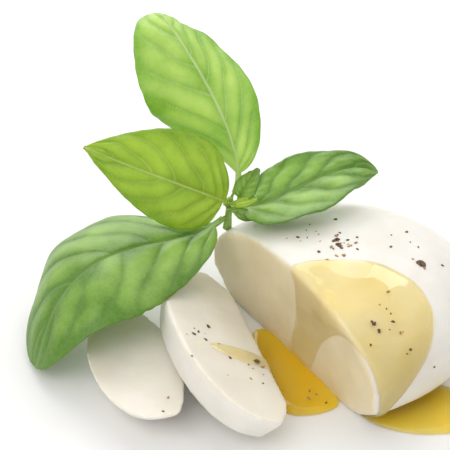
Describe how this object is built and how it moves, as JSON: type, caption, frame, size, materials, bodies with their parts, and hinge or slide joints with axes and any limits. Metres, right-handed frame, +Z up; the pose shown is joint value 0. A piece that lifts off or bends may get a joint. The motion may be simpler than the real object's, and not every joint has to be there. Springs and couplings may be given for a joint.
{
  "type": "sliced mozzarella ball with basil",
  "caption": "Sagged soft cheese ball with a flat base, cut open at one end, with its toppled slices leaning beside the cut and a leafy basil sprig on top.",
  "frame": {"origin": "middle of the base of the bounding box, on the surface that the cheese rests on", "axes": "+Z up, +X from the slices towards the uncut end of the ball, +Y from the front of the cut to the back"},
  "size_m": [0.1268, 0.1072, 0.0757],
  "materials": {
    "cheese_skin": "moist satin skin",
    "cut_cheese": "moist cut face",
    "basil_leaf": "satin, waxy leaf",
    "basil_stem": "satin stem"
  },
  "bodies": {
    "root": {"cheese_ball": "cheese_skin", "inner_slice": "cut_cheese", "outer_slice": "cut_cheese", "basil_stem": "basil_stem", "basil_leaf_upper": "basil_leaf", "basil_leaf_left": "basil_leaf", "basil_leaf_lower": "basil_leaf", "basil_leaf_right": "basil_leaf", "basil_leaf_young": "basil_leaf"}
  },
  "joints": []
}
